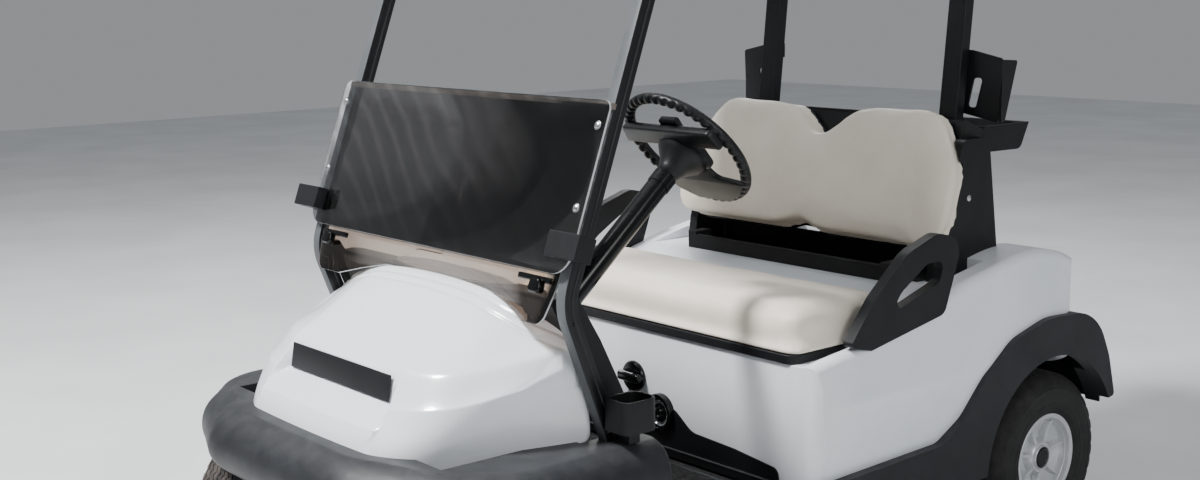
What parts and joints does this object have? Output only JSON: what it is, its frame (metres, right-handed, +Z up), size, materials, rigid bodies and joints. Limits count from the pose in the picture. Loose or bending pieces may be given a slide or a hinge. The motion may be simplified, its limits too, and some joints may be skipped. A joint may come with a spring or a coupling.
{
  "type": "golf cart",
  "caption": "Two-seat golf cart with a folded windshield, a canopy, a bench seat over the batteries and an open bag well.",
  "frame": {"origin": "on the ground under the middle of the cart", "axes": "+X to the cart's left side, -Y to its front, +Z up"},
  "size_m": [1.2002, 2.3107, 1.7441],
  "materials": {
    "white_panel": "gloss moulded panel",
    "black_moulding": "grained moulding",
    "column_black": "gloss",
    "frame_alloy": "extruded",
    "black_steel": "satin powder coat",
    "running_gear": "painted",
    "smoke_pane": "tinted acrylic",
    "cream_vinyl": "grained vinyl",
    "tyre_rubber": "worn",
    "wheel_silver": "silver lacquer",
    "floor_rubber": "ribbed mat",
    "black_rubber": "moulded",
    "battery_case": "plain"
  },
  "bodies": {
    "chassis": {"frame_rails": "frame_alloy", "cross_members": "frame_alloy", "front_axle": "running_gear", "rear_axle": "running_gear", "suspension": "running_gear", "battery_pack": "battery_case", "steering_column": "column_black", "floor_panel": "floor_rubber", "pedals": "black_steel", "roof": "white_panel", "heel_panel": "black_moulding", "direction_selector": "column_black", "charge_receptacle": "black_moulding", "seat_back": "cream_vinyl", "seat_back_shell": "black_moulding", "seat_rail": "black_moulding", "badge_plate": "column_black", "windshield_lower": "smoke_pane", "windshield_upper": "smoke_pane", "windshield_clips": "black_rubber", "front_struts": "black_steel", "rear_struts": "black_steel", "bag_brackets": "black_steel", "basket": "black_moulding", "rear_fenders": "black_moulding", "rear_body": "white_panel", "bag_well": "black_moulding", "rear_bumper": "black_moulding", "hip_restraints": "black_moulding", "seat_supports": "black_moulding", "cross_bar": "black_steel", "cowl": "white_panel", "front_skirt": "black_moulding", "side_panels": "black_moulding", "bottle_holders": "black_moulding", "dash": "black_moulding"},
    "steering_wheel": {"steering_wheel": "black_moulding"},
    "knuckle_left": {"knuckle_left": "running_gear"},
    "knuckle_right": {"knuckle_right": "running_gear"},
    "steering_rack": {"steering_rack": "running_gear"},
    "seat_bottom": {"seat_pan": "black_moulding", "seat_cushion": "cream_vinyl"},
    "wheel_front_left": {"tyre_front_left": "tyre_rubber", "rim_front_left": "wheel_silver"},
    "wheel_front_right": {"tyre_front_right": "tyre_rubber", "rim_front_right": "wheel_silver"},
    "wheel_rear_left": {"tyre_rear_left": "tyre_rubber", "rim_rear_left": "wheel_silver"},
    "wheel_rear_right": {"tyre_rear_right": "tyre_rubber", "rim_rear_right": "wheel_silver"}
  },
  "joints": [
    {"name": "steering", "type": "hinge", "parent": "chassis", "child": "steering_wheel", "pos_m": [0.25, -0.177, 1.105], "axis": [0, 0.757, 0.6534], "range_deg": [-480, 480]},
    {"name": "rack_slide", "type": "slide", "parent": "chassis", "child": "steering_rack", "axis": [1, 0, 0], "range_m": [-0.0409, 0.0409]},
    {"name": "kingpin_left", "type": "hinge", "parent": "chassis", "child": "knuckle_left", "pos_m": [0.335, -0.86, 0.2285], "axis": [0, 0, 1], "range_deg": [-24.1, 24.1]},
    {"name": "kingpin_right", "type": "hinge", "parent": "chassis", "child": "knuckle_right", "pos_m": [-0.335, -0.86, 0.2285], "axis": [0, 0, 1], "range_deg": [-24.1, 24.1]},
    {"name": "seat_lid", "type": "hinge", "parent": "chassis", "child": "seat_bottom", "pos_m": [0, -0.12, 0.637], "axis": [1, 0, 0], "range_deg": [0, 58]},
    {"name": "spin_front_left", "type": "hinge", "parent": "knuckle_left", "child": "wheel_front_left", "pos_m": [0.438, -0.86, 0.2285], "axis": [1, 0, 0], "continuous": true},
    {"name": "spin_front_right", "type": "hinge", "parent": "knuckle_right", "child": "wheel_front_right", "pos_m": [-0.438, -0.86, 0.2285], "axis": [1, 0, 0], "continuous": true},
    {"name": "spin_rear_left", "type": "hinge", "parent": "chassis", "child": "wheel_rear_left", "pos_m": [0.489, 0.804, 0.2285], "axis": [1, 0, 0], "continuous": true},
    {"name": "spin_rear_right", "type": "hinge", "parent": "chassis", "child": "wheel_rear_right", "pos_m": [-0.489, 0.804, 0.2285], "axis": [1, 0, 0], "continuous": true}
  ],
  "couplings": [
    {"joint": "rack_slide", "follows": "steering", "m_per_rad": -0.0048582},
    {"joint": "kingpin_left", "follows": "steering", "ratio": 0.05},
    {"joint": "kingpin_right", "follows": "steering", "ratio": 0.05}
  ]
}
